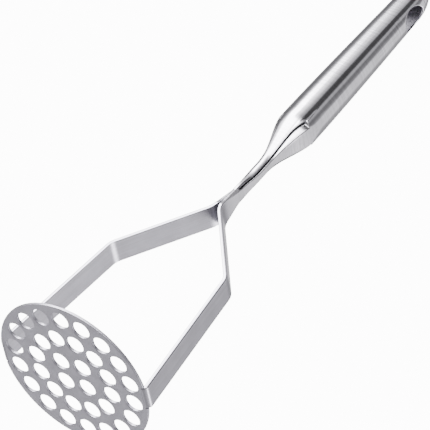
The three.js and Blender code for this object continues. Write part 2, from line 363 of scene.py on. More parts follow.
def polished_handle(settings):
    """Polished tube: a mirror softened by lengthwise lines and faint turning marks round it, and
    painted shade, near black, along its creases.
    """
    shader = Shader(bpy.data.materials.new("polished_handle"))
    lines = shader.noise((2600, 2600, 45), 3.0)
    turning = shader.noise((60, 60, 1000), 3.0)
    clouds = shader.noise((90, 90, 60), 3.0)
    tone = (lines * 0.3 + turning * 0.4 + clouds * 0.3).between(0.35, 0.65)
    polish = shader.tones(tone, settings.colour, 0.82, 1.08)
    crease = shader.value("ShaderNodeAttribute", {"attribute_name": "crease"}, output="Fac")
    # painted shade: the crease lines are mixed to near black, in place of the shade inside the
    # creases, and made rougher
    colour = shader.mix(crease, polish, (0.012, 0.012, 0.014, 1.0))
    roughness = settings.roughness - 0.03 + lines * 0.05 + clouds * 0.03 + crease * 0.4
    ripple = shader.bump(turning, 0.00003, 0.5)
    normal = shader.bump(lines, 0.000006, 0.25, ripple)
    return shader.metal(colour, roughness, normal)


def raw_inside(settings):
    """The unpolished inside of the tube, dull and even."""
    shader = Shader(bpy.data.materials.new("raw_inside"))
    mottle = shader.noise((400, 400, 120), 4.0)
    colour = shader.tones(mottle, settings.inside_colour, 0.75, 1.1)
    normal = shader.bump(mottle, 0.00005, 0.4)
    return shader.metal(colour, 0.7 + mottle * 0.15, normal)


def ground_weld(settings):
    """Weld at the neck, ground flush and polished with the metal round it."""
    shader = Shader(bpy.data.materials.new("ground_weld"))
    mottle = shader.noise((500, 500, 500), 3.0)
    colour = shader.tones(mottle, settings.colour, 0.94, 1.02)
    normal = shader.bump(mottle, 0.00001, 0.3)
    return shader.metal(colour, 0.2 + mottle * 0.08, normal)


def weld_metal(settings):
    """Weld bead: a little darker and rougher than the bar, with a straw heat tint."""
    shader = Shader(bpy.data.materials.new("weld_metal"))
    mottle = shader.noise((700, 700, 700), 4.0)
    straw = (settings.colour[0] * 0.95, settings.colour[1] * 0.88, settings.colour[2] * 0.75, 1.0)
    colour = shader.mix(mottle.between(0.35, 0.75), shade(settings.colour, 0.85), straw)
    normal = shader.bump(mottle, 0.00004, 0.4)
    return shader.metal(colour, 0.34 + mottle * 0.16, normal)


# ------------------------------------------------------------------ mesh tools


def finish_piece(name, mesh_data, materials, nodes, smooth_angle=40.0):
    """Turns a bmesh into a visible piece on the root body that stands for CAD nodes."""
    bmesh.ops.remove_doubles(mesh_data, verts=mesh_data.verts, dist=1e-7)
    bmesh.ops.recalc_face_normals(mesh_data, faces=mesh_data.faces)
    mesh = bpy.data.meshes.new(name)
    mesh_data.to_mesh(mesh)
    mesh_data.free()
    for material in materials:
        mesh.materials.append(material)
    mesh.shade_smooth()
    mesh.set_sharp_from_angle(angle=math.radians(smooth_angle))
    piece = bpy.data.objects.new(name, mesh)
    bpy.context.scene.collection.objects.link(piece)
    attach(piece, "root")
    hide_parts(*nodes)
    return piece


def loft(mesh_data, rings, cap_start=True, cap_end=True, material=0):
    """Joins closed rings of equally many points with quads, and caps the ends."""
    rows = [[mesh_data.verts.new(point) for point in ring] for ring in rings]
    count = len(rows[0])
    faces = []
    for lower, upper in zip(rows, rows[1:]):
        for k in range(count):
            n = (k + 1) % count
            faces.append(mesh_data.faces.new((lower[k], lower[n], upper[n], upper[k])))
    if cap_start:
        faces.append(mesh_data.faces.new(rows[0]))
    if cap_end:
        faces.append(mesh_data.faces.new(rows[-1]))
    for face in faces:
        face.material_index = material
    return rows


def curve_through(start, corner, end, steps):
    """Points of a soft bend from start to end that is drawn towards a corner."""
    shares = [k / (steps - 1) for k in range(steps)]
    return [start * (1 - t) ** 2 + corner * 2 * t * (1 - t) + end * t * t for t in shares]


def part_way(corner, other, reach):
    """The point that lies a reach from a corner towards another, or just short of halfway."""
    return corner.lerp(other, min(0.45, reach / max((other - corner).length, 1e-9)))


def rounded_outline(corners, reaches, arc_steps=5, side_steps=3):
    """Closed outline through flat corners, each softened by a curve that starts a reach away.

    Equal step counts give outlines that a loft can join point by point.
    """
    corners = [Vector(corner) for corner in corners]
    bends = []
    for k, (corner, reach) in enumerate(zip(corners, reaches)):
        after = corners[(k + 1) % len(corners)]
        start, end = part_way(corner, corners[k - 1], reach), part_way(corner, after, reach)
        bends.append(curve_through(start, corner, end, arc_steps))
    points = []
    for k, bend in enumerate(bends):
        following = bends[(k + 1) % len(bends)][0]
        points += bend
        points += [bend[-1].lerp(following, (s + 1) / (side_steps + 1)) for s in range(side_steps)]
    return points


def turn_to_left(mesh_data):
    """Turns a piece of the right side half round the axis, to the left side."""
    half_turn = Matrix.Rotation(math.pi, 3, "Z")
    bmesh.ops.rotate(mesh_data, verts=mesh_data.verts, matrix=half_turn)


def ease(t):
    u = min(1.0, max(0.0, t))
    return u * u * (3 - 2 * u)


def ramp(height, low, high):
    """0 up to the low height, 1 from the high one, and eased between them."""
    return ease((height - low) / (high - low))


def flare(t):
    """Like ease, but leaves and arrives with some slope, as pressed metal does."""
    u = min(1.0, max(0.0, t))
    return 0.7 * ease(u) + 0.3 * u


def blend(a, b, t):
    return a + (b - a) * t


def smaller(a, b, softness):
    """The smaller of two lengths, with the change between them rounded off."""
    h = max(softness - abs(a - b), 0.0) / softness
    return min(a, b) - h * h * softness * 0.25


# ------------------------------------------------------------------ plate


def foot_start(plate, strap):
    """Where the strap's foot starts to curl up from the plate, in mm from the axis."""
    rise = strap.shoulder_height - strap.thickness / 2
    turn = math.atan2(rise, strap.shoulder_half_span - plate.radius)
    return plate.radius - strap.foot_bend * math.tan(turn / 2)


def arc_points(radius, start, end, steps):
    """Points on a circle about the axis, from one angle to another."""
    angles = [blend(start, end, k / steps) for k in range(steps + 1)]
    return [(radius * math.cos(a), radius * math.sin(a)) for a in angles]


NOTCH_GAP = 0.12  # between the notch and each edge of the bar, mm
RIM_STEPS, HOLE_STEPS = 64, 48


def plate_outline(plate, strap):
    """The rim with a notch for each foot, as points in mm."""
    half = strap.width / 2 + NOTCH_GAP
    turn = math.asin(half / plate.radius)
    flat = foot_start(plate, strap)
    upper = arc_points(plate.radius, turn, math.pi - turn, RIM_STEPS)
    lower = [(-x, -y) for x, y in upper]
    right = [(flat, -half), (flat, half)]
    left = [(-flat, half), (-flat, -half)]
    return right + upper + left + lower


def ring_centres(plate):
    """Centres of all the holes, ring by ring, each ring turned by half a pitch."""
    centres = []
    for ring, count in enumerate(plate.holes):
        outer = plate.radius - plate.rim_margin - plate.hole_radius
        radius = outer - ring * (2 * plate.hole_radius + plate.ring_gap)
        for k in range(count):
            turn = 2 * math.pi * (k + 0.5) / count
            centres.append((radius * math.cos(turn), radius * math.sin(turn)))
    return centres


def add_closed_line(curve, points):
    line = curve.splines.new("POLY")
    line.points.add(len(points) - 1)
    for place, (x, y) in zip(line.points, points):
        place.co = (x * MM, y * MM, 0, 1)
    line.use_cyclic_u = True


class MASHER_OT_plate(Operator):
    """Build the perforated plate with stamped, rounded edges"""

    bl_idname = "masher.plate"
    bl_label = "Plate"

    def execute(self, context):
        plate = context.scene.masher_plate
        strap = context.scene.masher_strap
        curve = bpy.data.curves.new("plate_outline", "CURVE")
        curve.dimensions = "2D"
        curve.fill_mode = "BOTH"
        inset = plate.edge_round
        curve.offset = -inset * MM
        curve.bevel_depth = inset * MM
        curve.bevel_resolution = 3
        curve.extrude = (plate.thickness / 2 - inset) * MM
        add_closed_line(curve, plate_outline(plate, strap))
        for x, y in ring_centres(plate):
            circle = arc_points(plate.hole_radius, 0, 2 * math.pi, HOLE_STEPS)[:-1]
            add_closed_line(curve, [(x + px, y + py) for px, py in circle])
        stand_in = bpy.data.objects.new("plate_outline", curve)
        context.scene.collection.objects.link(stand_in)
        graph = context.evaluated_depsgraph_get()
        solid = bpy.data.meshes.new_from_object(stand_in.evaluated_get(graph))
        bpy.data.objects.remove(stand_in)
        mesh_data = bmesh.new()
        mesh_data.from_mesh(solid)
        bmesh.ops.translate(mesh_data, verts=mesh_data.verts, vec=(0, 0, plate.thickness / 2 * MM))
        bpy.data.meshes.remove(solid)
        bpy.data.curves.remove(curve)
        material = satin_plate(plate)
        piece = finish_piece("plate", mesh_data, [material], ["masher_plate"])
        piece.modifiers.new("flat_faces", "WEIGHTED_NORMAL").keep_sharp = True
        return {"FINISHED"}


# ------------------------------------------------------------------ straps


def bent_path(corners, radii, steps):
    """Points and outward normals along straight runs joined by arcs, in the XZ plane."""
    runs = [(b - a).normalized() for a, b in zip(corners, corners[1:])]
    path = [(corners[0], runs[0])]
    for k in range(1, len(corners) - 1):
        before, after = runs[k - 1], runs[k]
        turn = math.atan2(before.cross(after), before.dot(after))
        reach = radii[k - 1] * math.tan(abs(turn) / 2)
        start = corners[k] - before * reach
        side = math.copysign(radii[k - 1], turn)
        centre = start + Vector((-before.y, before.x)) * side
        for step in range(steps + 1):
            spin = Matrix.Rotation(turn * step / steps, 2)
            path.append((centre + spin @ (start - centre), spin @ before))
    path.append((corners[-1], runs[-1]))
    return [(point, Vector((way.y, -way.x))) for point, way in path]


def dense(path, spacing):
    """Adds points to the straight runs of a path so that no step is longer than spacing."""
    filled = []
    for (point, normal), (next_point, next_normal) in zip(path, path[1:]):
        pieces = max(1, math.ceil((next_point - point).length / spacing))
        for k in range(pieces):
            t = k / pieces
            filled.append((point.lerp(next_point, t), normal.lerp(next_normal, t).normalized()))
    return filled + [path[-1]]


def strap_section(strap, handle, height, tang_top):
    """Outline of the bar at a height, as (outward, sideways) in mm: flat inside, sloped outside."""
    half = strap.thickness / 2
    narrowing = max(0.0, (height - strap.narrowing_start) / (tang_top - strap.narrowing_start))
    sloping = max(0.0, (height - strap.sloping_start) / (tang_top - strap.sloping_start))
    width = blend(strap.width / 2, handle.end_reach_y, narrowing)
    chamfer = strap.edge_round
    inner = -half
    edge = blend(half - chamfer, handle.end_edge - strap.joint_gap / 2 - half, sloping)
    face = blend(width - chamfer, handle.end_face, sloping)
    lower = [(inner, -width), (edge, -width), (half, -face)]
    upper = [(outward, -sideways) for outward, sideways in reversed(lower)]
    inside, outside = 0.3, strap.edge_round
    return rounded_outline(lower + upper, [inside, *[outside] * 4, inside])


def strap_rings(plate, strap, handle):
    middle = (strap.joint_gap + strap.thickness) / 2
    tang_top = handle.neck_bottom - handle.weld_height
    corners = [
        Vector((foot_start(plate, strap) - 0.02, strap.thickness / 2)),
        Vector((plate.radius, strap.thickness / 2)),
        Vector((strap.shoulder_half_span, strap.shoulder_height)),
        Vector((middle, strap.crotch_height)),
        Vector((middle, tang_top)),
    ]
    radii = [strap.foot_bend, strap.shoulder_bend, strap.crotch_bend]
    rings = []
    for point, normal in dense(bent_path(corners, radii, 14), 2.0):
        section = strap_section(strap, handle, point.y, tang_top)
        ring = []
        for outward, sideways in section:
            place = point + normal * outward
            ring.append(Vector((place.x, sideways, place.y)) * MM)
        rings.append(ring)
    return rings


class MASHER_OT_legs(Operator):
    """Build the two bent straps"""

    bl_idname = "masher.legs"
    bl_label = "Legs"

    def execute(self, context):
        scene = context.scene
        plate, strap, handle = scene.masher_plate, scene.masher_strap, scene.masher_handle
        material = satin_strap(strap, handle.colour, handle.neck_bottom)
        for side, name in ((1, "right_leg"), (-1, "left_leg")):
            mesh_data = bmesh.new()
            loft(mesh_data, strap_rings(plate, strap, handle))
            if side < 0:
                turn_to_left(mesh_data)
            piece = finish_piece(name + "_strap", mesh_data, [material], [name])
            piece.modifiers.new("flat_faces", "WEIGHTED_NORMAL").keep_sharp = True
        return {"FINISHED"}


BEAD_RADIUS = 1.0
BEAD_FLATNESS = 0.8  # its height as a share of its width
BEAD_RUN_INSET = 0.8  # from each edge of the bar, mm
BEAD_BACK = 0.55  # from the foot's curl to the bead's middle, mm
BEAD_SINK = 0.1  # of its middle under the plate's top, mm
BEAD_STEPS, BEAD_SIDES, BEAD_RIPPLES = 44, 16, 9


def bead_rings(plate, strap, side):
    """A rippled bead along a foot of the right side; side only changes its small bumps."""
    run = strap.width - 2 * BEAD_RUN_INSET
    rings = []
    for k in range(BEAD_STEPS + 1):
        along = k / BEAD_STEPS
        swell = math.sin(math.pi * along) ** 0.25 if 0 < k < BEAD_STEPS else 0.15
        ripple = 1 + 0.07 * abs(math.sin(math.pi * along * BEAD_RIPPLES))
        wobble = 1 + 0.06 * noise.noise(Vector((along * 5, side * 3.7, 0)))
        radius = BEAD_RADIUS * swell * ripple * wobble
        back, top = foot_start(plate, strap) - BEAD_BACK, plate.thickness - BEAD_SINK
        centre = Vector((back, (along - 0.5) * run, top))
        turns = [2 * math.pi * step / BEAD_SIDES for step in range(BEAD_SIDES)]
        tall = radius * BEAD_FLATNESS
        section = [Vector((math.cos(t) * radius, 0, math.sin(t) * tall)) for t in turns]
        rings.append([(centre + offset) * MM for offset in section])
    return rings


class MASHER_OT_foot_welds(Operator):
    """Build the bead between the plate's top and each strap's foot"""

    bl_idname = "masher.foot_welds"
    bl_label = "Foot welds"

    def execute(self, context):
        scene = context.scene
        plate, strap = scene.masher_plate, scene.masher_strap
        material = weld_metal(strap)
        for side, name in ((1, "right_foot_weld"), (-1, "left_foot_weld")):
            mesh_data = bmesh.new()
            loft(mesh_data, bead_rings(plate, strap, side))
            if side < 0:
                turn_to_left(mesh_data)
            finish_piece(name + "_bead", mesh_data, [material], [name], 75.0)
        return {"FINISHED"}


# ------------------------------------------------------------------ neck and handle


# Heights between which the neck changes, mm
CREASES_OPEN = (156.0, 172.0)
CREASES_TURN_BACK = (176.0, 190.0)
FLATS_SINK = (154.0, 182.0)
FACE_TOP = 192.0

# Lengths, mm
OUTLINE_LAG = 2.0  # the neck's outline starts to change this far below its waist
CREASE_RUN_OUT = 1.5
CREASE_CLOSING = 2.5
CREASE_WIDTH = 0.25
FACET_RUN_OUT = 3.0
CREST_SOFTNESS = 0.6
LIP_INSET = 0.12
CLIP_SOFTNESS = 0.15  # where the facets meet the round handle
BAR_SOFTNESS = 0.5  # of the corners at the neck's lower end
SHADE_LINE_FADES = (0.5, 0.9)  # distances from a crease's wall over which its painted shade line fades
SHADE_LINE_STARTS = (-0.08, 0.12)  # depths below its lip over which the painted shade line gets dark

CREASE_END = math.radians(72)  # direction of the creases at the neck's lower end
FACET_OVERSHOOT = 0.06  # share by which the facets pass the round handle where they run out

FACE_STEPS, BEND_POINTS, FLAT_STEPS, CREASE_STEPS, LOBE_STEPS = 4, 6, 7, 8, 12
RING_COUNT = 4 * (FACE_STEPS + BEND_POINTS + FLAT_STEPS - 1 + CREASE_STEPS + LOBE_STEPS)
RING_STEP = 2 * math.pi / RING_COUNT


def round_radius(handle, height):
    """Radius of the handle where it is round, up to the tip."""
    dome_start = handle.total_height - handle.dome_height
    if height > dome_start:
        rise = (height - dome_start) / handle.dome_height
        return handle.end_radius * math.sqrt(max(0.0, 1 - rise * rise))
    along = max(0.0, (height - handle.taper_start) / (dome_start - handle.taper_start))
    return blend(handle.radius, handle.end_radius, along ** 1.4)


def neck_shares(handle, height):
    """How far the neck has turned into its lower end, as 0 to 1: its size, and its outline."""
    size = 1 - ramp(height, handle.neck_bottom, handle.waist)
    return size, 1 - ramp(height, handle.neck_bottom, handle.waist - OUTLINE_LAG)


def crease_turn(handle, height):
    """Angle from the X axis to the crease between an X face and a round Y side."""
    opened = blend(handle.crease_waist, handle.crease_flare, ramp(height, *CREASES_OPEN))
    turned = blend(opened, handle.crease_top, ramp(height, *CREASES_TURN_BACK))
    _, outline = neck_shares(handle, height)
    return blend(turned, CREASE_END, outline)


def toward(turn, radius):
    return Vector((math.cos(turn), math.sin(turn))) * radius


def bar_reach(handle, turn):
    """Distance from the axis to the eight-sided lower end of the neck, in a direction."""
    face = Vector((handle.end_reach_x, handle.end_face))
    edge = Vector((handle.end_edge, handle.end_reach_y))
    way = toward(turn, 1)
    slope = face.cross(edge - face) / way.cross(edge - face)
    return smaller(handle.end_reach_y / way.y, slope, BAR_SOFTNESS)


def lobe_reach(handle, height):
    """Radius of the neck's round Y sides."""
    open_up = ramp(height, handle.lobe_flare, handle.lobe_top)
    return blend(handle.waist_lobe, handle.radius, open_up)


def crease_line(handle, height, depth):
    """Lip and floor of the crease beside an X face, in the first quarter, in mm."""
    _, outline = neck_shares(handle, height)
    turn = crease_turn(handle, height)
    lip = toward(turn, blend(lobe_reach(handle, height), bar_reach(handle, turn), outline))
    run_out = ramp(height, handle.press_top - CREASE_RUN_OUT, handle.press_top)
    opening = ramp(height, handle.neck_bottom, handle.neck_bottom + CREASE_CLOSING)
    sunk = depth * (1 - run_out) * opening
    inward = toward(blend(handle.crease_waist, turn, outline), 1)
    return lip, lip - inward * sunk + Vector((inward.y, -inward.x)) * min(CREASE_WIDTH, sunk)


def crowded(step, steps):
    """Share of a line after so many steps, which get shorter towards its end."""
    return 1 - (1 - step / steps) ** 2


def crest_point(handle, height):
    """Edge between an X face and the pressed flat beside it, in the first quarter, in mm."""
    size, _ = neck_shares(handle, height)
    spread = flare((height - handle.face_flare) / (FACE_TOP - handle.face_flare))
    reach_x = blend(blend(handle.waist_reach_x, handle.end_reach_x, size), handle.radius, spread)
    depth = blend(handle.crease_depth, handle.press_depth, ramp(height, *FLATS_SINK))
    _, deep = crease_line(handle, height, depth)
    drop = math.tan(handle.press_lean) * (reach_x - deep.x)
    return Vector((reach_x, blend(deep.y - drop, handle.end_face, size)))


def neck_quarter(handle, height):
    """A quarter of the neck's section, from the X axis to the Y axis, as points in mm."""
    _, outline = neck_shares(handle, height)
    lip, floor = crease_line(handle, height, handle.crease_depth)
    running_out = ramp(height, handle.neck_top - FACET_RUN_OUT, handle.neck_top)
    overshoot = 1 + FACET_OVERSHOOT * running_out
    crest = crest_point(handle, height) * overshoot
    floor = floor * overshoot
    from_face = crest - Vector((0, CREST_SOFTNESS))
    to_flat = crest + (floor - crest).normalized() * CREST_SOFTNESS
    points = [Vector((crest.x, from_face.y * k / FACE_STEPS)) for k in range(FACE_STEPS)]
    points += curve_through(from_face, crest, to_flat, BEND_POINTS)
    points += [to_flat.lerp(floor, crowded(k, FLAT_STEPS)) for k in range(1, FLAT_STEPS)]
    points += [floor.lerp(lip, crowded(k, CREASE_STEPS)) for k in range(CREASE_STEPS)]
    start = math.atan2(lip.y, lip.x)
    for k in range(LOBE_STEPS + 1):
        turn = blend(start, math.pi / 2, k / LOBE_STEPS)
        reach = blend(lobe_reach(handle, height), bar_reach(handle, turn), outline)
        points.append(toward(turn, reach if k else reach - LIP_INSET))
    return points


def neck_ring(handle, height):
    """The neck's section at a height, clipped by the round handle, as points in metres."""
    quarter = neck_quarter(handle, height)
    half = quarter[:-1] + [Vector((-p.x, p.y)) for p in reversed(quarter)][:-1]
    limit = round_radius(handle, height)
    ring = []
    for point in half + [-p for p in half]:
        flat = point.normalized() * min(smaller(point.length, limit, CLIP_SOFTNESS), limit)
        ring.append(Vector((flat.x, flat.y, height)) * MM)
    return ring


def crease_shade_share(handle, place, height):
    """How much of the painted shade line in a crease a point of the first quarter lies in, 0 to 1."""
    lip, floor = crease_line(handle, height, handle.crease_depth)
    _, share = geometry.intersect_point_line(place, lip, floor)
    share = min(1.0, max(0.0, share))
    away = (place - lip.lerp(floor, share)).length
    sunk = (lip - floor).length * share
    fading = ramp(height, handle.press_top - CREASE_RUN_OUT, handle.press_top)
    return (1 - ramp(away, *SHADE_LINE_FADES)) * ramp(sunk, *SHADE_LINE_STARTS) * (1 - fading)


def store_crease_shade(handle, mesh):
    """Stores how deep in a crease each vertex lies, as the share of painted shade that darkens the
    handle's colour there.
    """
    marks = mesh.attributes.new("crease", "FLOAT", "POINT")
    for vertex in mesh.vertices:
        x, y, height = vertex.co / MM
        if handle.neck_bottom - 0.1 < height < handle.neck_top:
            place = Vector((abs(x), abs(y)))
            marks.data[vertex.index].value = crease_shade_share(handle, place, height)


def round_ring(radius, height):
    """Evenly spaced points on a level circle round the axis, in metres from sizes in mm."""
    turns = [RING_STEP * k for k in range(RING_COUNT)]
    return [Vector((radius * math.cos(t), radius * math.sin(t), height)) * MM for t in turns]


def settled_ring(handle, height, share):
    """A round ring whose points move from the neck's spacing, at a share of 0, to even spacing."""
    radius = round_radius(handle, height)
    ring = []
    for k, point in enumerate(neck_ring(handle, handle.neck_top)):
        even = RING_STEP * k
        turn = math.atan2(point.y, point.x)
        while turn < even - math.pi:
            turn += 2 * math.pi
        flat = toward(blend(turn, even, share), radius)
        ring.append(Vector((flat.x, flat.y, height)) * MM)
    return ring


def spaced(start, end, spacing):
    steps = max(1, round((end - start) / spacing))
    return [blend(start, end, k / steps) for k in range(steps + 1)]


# ------------------------------------------------------------------ hanging holes


FRAME_SIDE_STEPS = 20  # ring steps from a hole's middle to each side of the frame round it
FRAME_ROW_STEPS = 24
FRAME_DROP = 12.0  # from the hole's centre to the frame's lower edge, mm
SEAM_EDGE = 0.2  # from the frame's upper edge to the cap's seam, mm
SKIN_SHARES = (0.0, 0.3, 0.55, 0.75, 0.9, 1.0)
OUTER_ROLL = 0.5  # radius of the rim's outer edge, mm
INNER_ROLL = 0.25


def tube_point(handle, turn, height, depth):
    """A point on the tube at a depth under its outer skin, in metres."""
    flat = toward(turn, round_radius(handle, height) - depth)
    return Vector((flat.x, flat.y, height)) * MM


def frame_rows(handle, centre):
    """Heights of the frame's rows above a hole's centre."""
    top = handle.cap_seam - SEAM_EDGE - centre
    return [blend(-FRAME_DROP, top, k / FRAME_ROW_STEPS) for k in range(FRAME_ROW_STEPS + 1)]


def frame_loop(handle, centre):
    """Turn and height offsets of the frame round a hanging hole, once round from its corner."""
    rows = frame_rows(handle, centre)
    side = range(-FRAME_SIDE_STEPS, FRAME_SIDE_STEPS)
    half_turn = FRAME_SIDE_STEPS * RING_STEP
    loop = [(k * RING_STEP, rows[0]) for k in side]
    loop += [(half_turn, row) for row in rows[:-1]]
    loop += [(-k * RING_STEP, rows[-1]) for k in side]
    return loop + [(-half_turn, row) for row in reversed(rows[1:])]


def hole_rim(handle, centre, direction, grow, depth):
    """Turn and height of a point on a hole's rolled rim, in the direction of a frame point."""
    across = (handle.hole_width / 2 + grow) * math.cos(direction)
    height = centre + (handle.hole_height / 2 + grow) * math.sin(direction)
    return math.asin(across / (round_radius(handle, height) - depth)), height


def rim_layers(handle):
    """Steps from the frame's outer skin over the rim and back, and how many are polished.

    Each is a share of the way to the hole, a distance from the hole's edge, and a depth.
    """
    layers = [(share, OUTER_ROLL, 0.0) for share in SKIN_SHARES]
    for k in range(1, 7):
        turn = math.pi / 2 * k / 6
        layers.append((1.0, OUTER_ROLL * (1 - math.sin(turn)), OUTER_ROLL * (1 - math.cos(turn))))
    polished = len(layers)
    for k in range(1, 4):
        turn = math.pi / 2 * k / 3
        depth = handle.wall - INNER_ROLL * (1 - math.sin(turn))
        layers.append((1.0, INNER_ROLL * (1 - math.cos(turn)), depth))
    return layers + [(share, INNER_ROLL, handle.wall) for share in (0.8, 0.5, 0.0)], polished


def hole_window(mesh_data, handle, centre, side):
    """The wall round one hanging hole: outer skin, rolled rim and inner skin."""
    loop = frame_loop(handle, centre)
    layers, polished = rim_layers(handle)
    facing = 0 if side > 0 else math.pi
    rows = []
    for share, grow, depth in layers:
        row = []
        for turn, rise in loop:
            direction = math.atan2(rise / FRAME_DROP, turn / (FRAME_SIDE_STEPS * RING_STEP))
            rim_turn, rim_height = hole_rim(handle, centre, direction, grow, depth)
            around = blend(turn, rim_turn, share) + facing
            height = blend(centre + rise, rim_height, share)
            row.append(mesh_data.verts.new(tube_point(handle, around, height, depth)))
        rows.append(row)
    for index, (outer, inner) in enumerate(zip(rows, rows[1:])):
        for k in range(len(loop)):
            n = (k + 1) % len(loop)
            face = mesh_data.faces.new((outer[k], outer[n], inner[n], inner[k]))
            face.material_index = 1 if index >= polished else 0


def side_panels(mesh_data, handle, centre, depth, material):
    """The plain wall between the two hanging holes, on both sides."""
    rows = frame_rows(handle, centre)
    quarter = RING_COUNT // 4
    reach = quarter - FRAME_SIDE_STEPS
    for facing in (quarter, 3 * quarter):
        turns = [(facing + k) * RING_STEP for k in range(-reach, reach + 1)]
        grid = []
        for row in rows:
            points = [tube_point(handle, turn, centre + row, depth) for turn in turns]
            grid.append([mesh_data.verts.new(point) for point in points])
        for lower, upper in zip(grid, grid[1:]):
            for k in range(2 * reach):
                face = mesh_data.faces.new((lower[k], lower[k + 1], upper[k + 1], upper[k]))
                face.material_index = material


# ------------------------------------------------------------------ handle pieces


SETTLING = 14  # length over which the rings settle to even spacing, mm
RUN_OUT_GAP, NECK_GAP, SETTLING_GAP, TUBE_GAP = 0.3, 0.6, 1.5, 3.0  # between rings, mm
RUN_OUT_RINGS = 6
BORE_TIP = 10.0  # height of the bore's closed end above the waist, mm
SEAM_BEVEL = 0.15  # of the edges on both sides of the cap's seam, mm
SEAM_HAIRLINE = 0.02
CAP_INSET = 0.16  # of the cap's skin at the seam, mm
CAP_ROWS = 28


def skin_rings(handle, top):
    """The outer skin, with closer rings where the creases run out, up to a height in mm."""
    start = handle.press_top - RUN_OUT_RINGS * RUN_OUT_GAP
    stop = handle.press_top + RUN_OUT_GAP
    heights = spaced(handle.neck_bottom, start, NECK_GAP)[:-1]
    heights += spaced(start, stop, RUN_OUT_GAP)[:-1]
    heights += spaced(stop, handle.neck_top, NECK_GAP)
    rings = [neck_ring(handle, z) for z in heights]
    settled = handle.neck_top + SETTLING
    for z in spaced(handle.neck_top, settled, SETTLING_GAP)[1:]:
        rings.append(settled_ring(handle, z, ramp(z, handle.neck_top, settled)))
    plain = spaced(settled, top, TUBE_GAP)[1:]
    return rings + [round_ring(round_radius(handle, z), z) for z in plain]


def bore_rings(handle, top):
    """The inner skin, from its closed end to a height in mm."""
    tip = handle.waist + BORE_TIP
    rings = []
    for z in spaced(tip + 1, top, TUBE_GAP):
        opening = ramp(z, tip, handle.taper_start)
        rings.append(round_ring((round_radius(handle, z) - handle.wall) * opening, z))
    return rings


def seam_rings(handle):
    """The tube's upper end, from its skin over the bevelled edge to the inside."""
    low, high = handle.cap_seam - SEAM_EDGE, handle.cap_seam
    line = ((low, 0), (high, SEAM_BEVEL), (high, handle.wall), (low, handle.wall))
    return [round_ring(round_radius(handle, height) - depth, height) for height, depth in line]


class MASHER_OT_neck_weld(Operator):
    """Build the weld between the straps and the neck"""

    bl_idname = "masher.neck_weld"
    bl_label = "Neck weld"

    def execute(self, context):
        handle = context.scene.masher_handle
        section = neck_ring(handle, handle.neck_bottom)
        rows = 7
        rings = []
        for k in range(rows):
            drop = Vector((0, 0, handle.weld_height * (1 - k / (rows - 1)) * MM))
            rings.append([point - drop for point in section])
        mesh_data = bmesh.new()
        loft(mesh_data, rings)
        finish_piece("neck_weld_band", mesh_data, [ground_weld(handle)], ["neck_weld"])
        return {"FINISHED"}


class MASHER_OT_handle(Operator):
    """Build the crimped, tapered tube with its rolled hanging hole"""

    bl_idname = "masher.handle"
    bl_label = "Handle tube"

    def execute(self, context):
        handle = context.scene.masher_handle
        centre = handle.total_height - handle.hole_below_top
        mesh_data = bmesh.new()
        loft(mesh_data, skin_rings(handle, centre - FRAME_DROP), cap_end=False)
        side_panels(mesh_data, handle, centre, 0.0, 0)
        side_panels(mesh_data, handle, centre, handle.wall, 1)
        for side in (-1, 1):
            hole_window(mesh_data, handle, centre, side)
        loft(mesh_data, seam_rings(handle), False, False)
        loft(mesh_data, bore_rings(handle, centre - FRAME_DROP), cap_end=False, material=1)
        materials = [polished_handle(handle), raw_inside(handle)]
        piece = finish_piece("handle_tube_body", mesh_data, materials, ["handle_tube"])
        # stores the painted shade of the creases on the mesh, for the handle's colour
        store_crease_shade(handle, piece.data)
        return {"FINISHED"}


def spun_cup(mesh_data, line, tip, material):
    """Spins a line of (radius, height) points round the axis and closes it at the tip."""
    rings = [round_ring(radius, height) for radius, height in line]
    last = loft(mesh_data, rings, False, False, material)[-1]
    point = mesh_data.verts.new(Vector((0, 0, tip)) * MM)
    for k in range(RING_COUNT):
        face = mesh_data.faces.new((last[k], last[(k + 1) % RING_COUNT], point))
        face.material_index = material


class MASHER_OT_cap(Operator):
    """Build the domed end cap with its fine seam"""

    bl_idname = "masher.cap"
    bl_label = "End cap"

    def execute(self, context):
        handle = context.scene.masher_handle
        seam, top = handle.cap_seam + SEAM_HAIRLINE, handle.total_height
        outer = [(round_radius(handle, seam) - CAP_INSET, seam)]
        for k in range(CAP_ROWS):
            height = blend(seam + SEAM_BEVEL, top, math.sin(math.pi / 2 * k / CAP_ROWS))
            outer.append((round_radius(handle, height), height))
        inner = []
        for radius, height in outer:
            sunk = 0.9 * (height - seam) / (top - seam)
            inner.append((max(0.0, radius - handle.wall), height - sunk))
        mesh_data = bmesh.new()
        spun_cup(mesh_data, outer, top, 0)
        spun_cup(mesh_data, inner, top - handle.wall, 1)
        rim = [round_ring(radius, seam) for radius in (outer[0][0], inner[0][0])]
        loft(mesh_data, rim, False, False, 1)
        materials = [polished_handle(handle), raw_inside(handle)]
        finish_piece("handle_cap_dome", mesh_data, materials, ["handle_end_cap"])
        return {"FINISHED"}


# ------------------------------------------------------------------ studio


class Card:
    """A soft panel in the surround.

    It stands at an azimuth, is full from the middle out to core and gone at edge, reaches from
    low to high (all in degrees), and adds a number of stops to the brightness.
    """

    def __init__(self, azimuth, core, edge, stops, low, high):
        self.turn = math.radians(azimuth)
        self.core = math.cos(math.radians(core))
        self.edge = math.cos(math.radians(edge))
        self.stops = stops
        self.low = low
        self.high = high

    def light(self, x, y, z):
        """Stops that it adds in the direction z, with (x, y) its level part at length 1."""
        facing = x * math.cos(self.turn) + y * math.sin(self.turn)
        return facing.between(self.edge, self.core) * band(z, self.low, self.high) * self.stops


def band(z, low, high, soft=7):
    """1 between two elevations in degrees, fading out inside them."""
    share = 1
    if low > -90:
        share = z.between(math.sin(math.radians(low)), math.sin(math.radians(low + soft)))
    if high < 90:
        top = z.between(math.sin(math.radians(high - soft)), math.sin(math.radians(high)))
        share = share * (1 - top)
    return share


